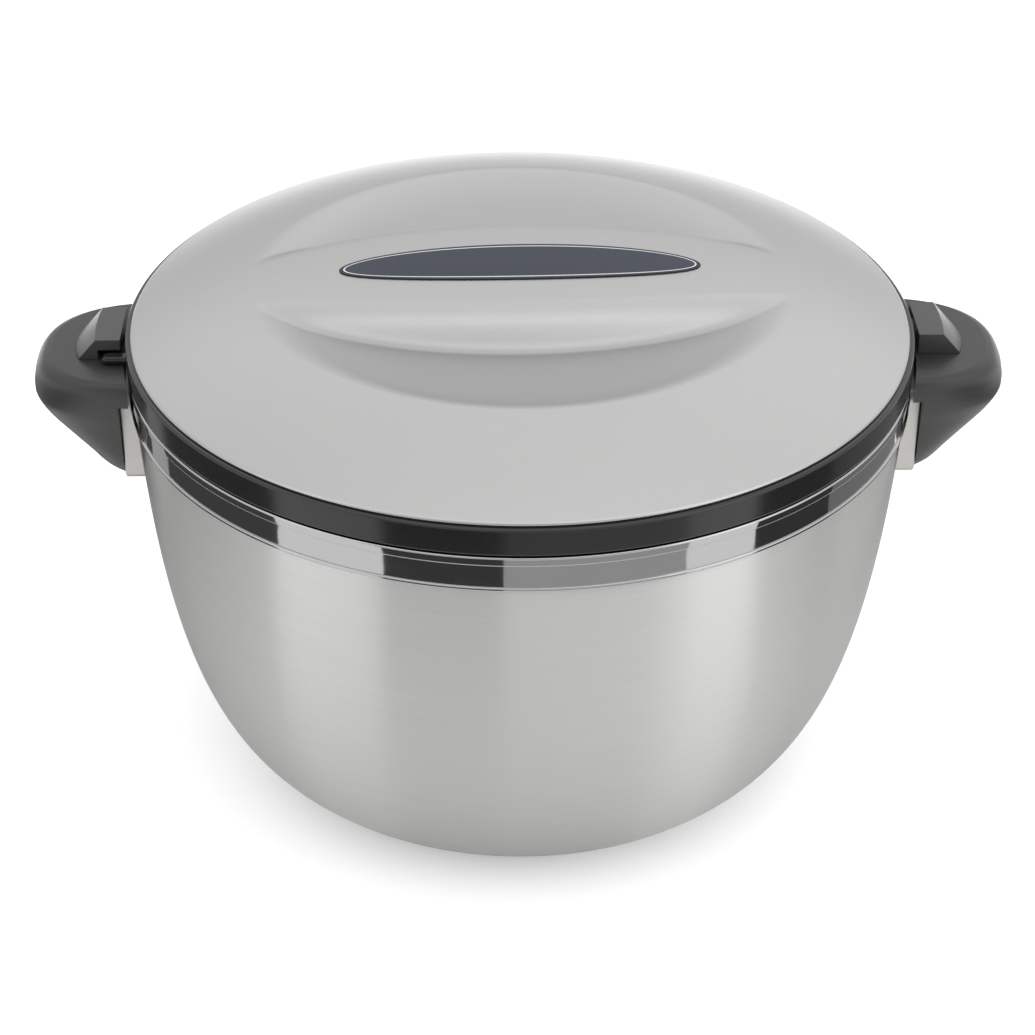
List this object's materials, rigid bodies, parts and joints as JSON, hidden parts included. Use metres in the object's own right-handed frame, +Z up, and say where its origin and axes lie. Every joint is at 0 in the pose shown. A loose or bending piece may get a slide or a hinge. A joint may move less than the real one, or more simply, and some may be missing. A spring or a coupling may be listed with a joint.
{
  "type": "insulated serving casserole",
  "caption": "Round insulated steel hot pot with ear handles and a bayonet lid that turns under hooded catches and lifts off.",
  "frame": {"origin": "on the surface that the pot stands on, under the centre of the pot", "axes": "+X towards the right handle, the front of the pot faces -Y, +Z up along the axis of pot and lid"},
  "size_m": [0.3512, 0.2822, 0.1976],
  "materials": {
    "satin_steel": "satin stainless steel",
    "lid_steel": "satin stainless steel",
    "bowl_steel": "fine satin stainless steel",
    "polished_steel": "mirror polished stainless steel",
    "bracket_steel": "bead blasted stainless steel",
    "screw_steel": "zinc plated steel",
    "black_plastic": "black polypropylene",
    "base_plastic": "black polypropylene",
    "gloss_black": "gloss black plastic",
    "handle_plastic": "matte dark grey plastic",
    "catch_plastic": "satin mid grey plastic",
    "silicone": "grey silicone rubber",
    "foam": "rigid polyurethane foam",
    "badge_enamel": "dark slate enamel",
    "badge_silver": "bright silver"
  },
  "bodies": {
    "bowl": {"outer_shell": "satin_steel", "rim_band": "polished_steel", "inner_bowl": "bowl_steel", "body_collar": "black_plastic", "body_insulation": "foam", "base_cover": "base_plastic", "filler_plug": "base_plastic", "handle_left": "handle_plastic", "handle_right": "handle_plastic", "handle_bracket_left": "bracket_steel", "handle_bracket_right": "bracket_steel", "handle_screws_left": "screw_steel", "handle_screws_right": "screw_steel", "weld_nuts_left": "screw_steel", "weld_nuts_right": "screw_steel", "catch_left": "catch_plastic", "catch_right": "catch_plastic", "catch_screws_left": "screw_steel", "catch_screws_right": "screw_steel"},
    "seal": {"lid_seal": "silicone"},
    "lid": {"lid_rim": "gloss_black", "lid_cover": "lid_steel", "lid_insulation": "foam", "lid_liner": "bowl_steel", "badge_plate": "badge_enamel", "badge_line": "badge_silver"}
  },
  "joints": [
    {"name": "lid_lift", "type": "slide", "parent": "bowl", "child": "seal", "axis": [0, 0, 1], "range_m": [0, 0.16]},
    {"name": "lid_turn", "type": "hinge", "parent": "seal", "child": "lid", "pos_m": [0, 0, 0.166], "axis": [0, 0, 1], "range_deg": [-8.6, 0]}
  ]
}
